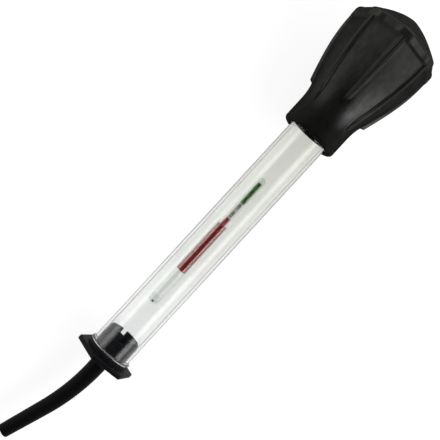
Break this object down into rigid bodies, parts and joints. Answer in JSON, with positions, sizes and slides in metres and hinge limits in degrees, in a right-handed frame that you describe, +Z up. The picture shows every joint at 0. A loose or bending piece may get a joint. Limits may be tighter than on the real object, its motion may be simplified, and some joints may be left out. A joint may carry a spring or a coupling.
{
  "type": "bulb hydrometer",
  "caption": "Battery acid hydrometer: ribbed rubber squeeze bulb on a clear barrel, rubber stopper with a bent nozzle, and a weighted float with a coloured scale that slides inside the barrel.",
  "frame": {"origin": "middle of the bounding box at table height, with the hydrometer lying on its flange and its bulb's shoulder", "axes": "+X from the nozzle to the bulb along the length, +Z up, +Y to the side that the nozzle bends towards"},
  "size_m": [0.2886, 0.0508, 0.0509],
  "materials": {
    "barrel_clear": "clear, polished",
    "bulb_rubber": "moulded, satin",
    "stopper_rubber": "moulded, matte",
    "nozzle_rubber": "moulded, satin",
    "float_glass": "clear, polished",
    "red_card": "printed",
    "scale_paper": "printed",
    "shot_metal": "dull grey",
    "clear_resin": "clear, cast"
  },
  "bodies": {
    "barrel": {"barrel": "barrel_clear"},
    "bulb": {"squeeze_bulb": "bulb_rubber"},
    "stopper": {"stopper": "stopper_rubber", "nozzle": "nozzle_rubber"},
    "float": {"float_envelope": "float_glass", "float_tip_seal": "float_glass", "float_body_card": "red_card", "float_stem_scale": "scale_paper", "ballast_shot": "shot_metal", "ballast_resin": "clear_resin"}
  },
  "joints": [
    {"name": "float_slide", "type": "slide", "parent": "barrel", "child": "float", "axis": [0.9987, 0, 0.0504], "range_m": [-0.0185, 0.1]},
    {"name": "bulb_pull", "type": "slide", "parent": "barrel", "child": "bulb", "axis": [0.9987, 0, 0.0504], "range_m": [0, 0.03]},
    {"name": "stopper_pull", "type": "slide", "parent": "barrel", "child": "stopper", "axis": [-0.9987, 0, -0.0504], "range_m": [0, 0.02]}
  ]
}
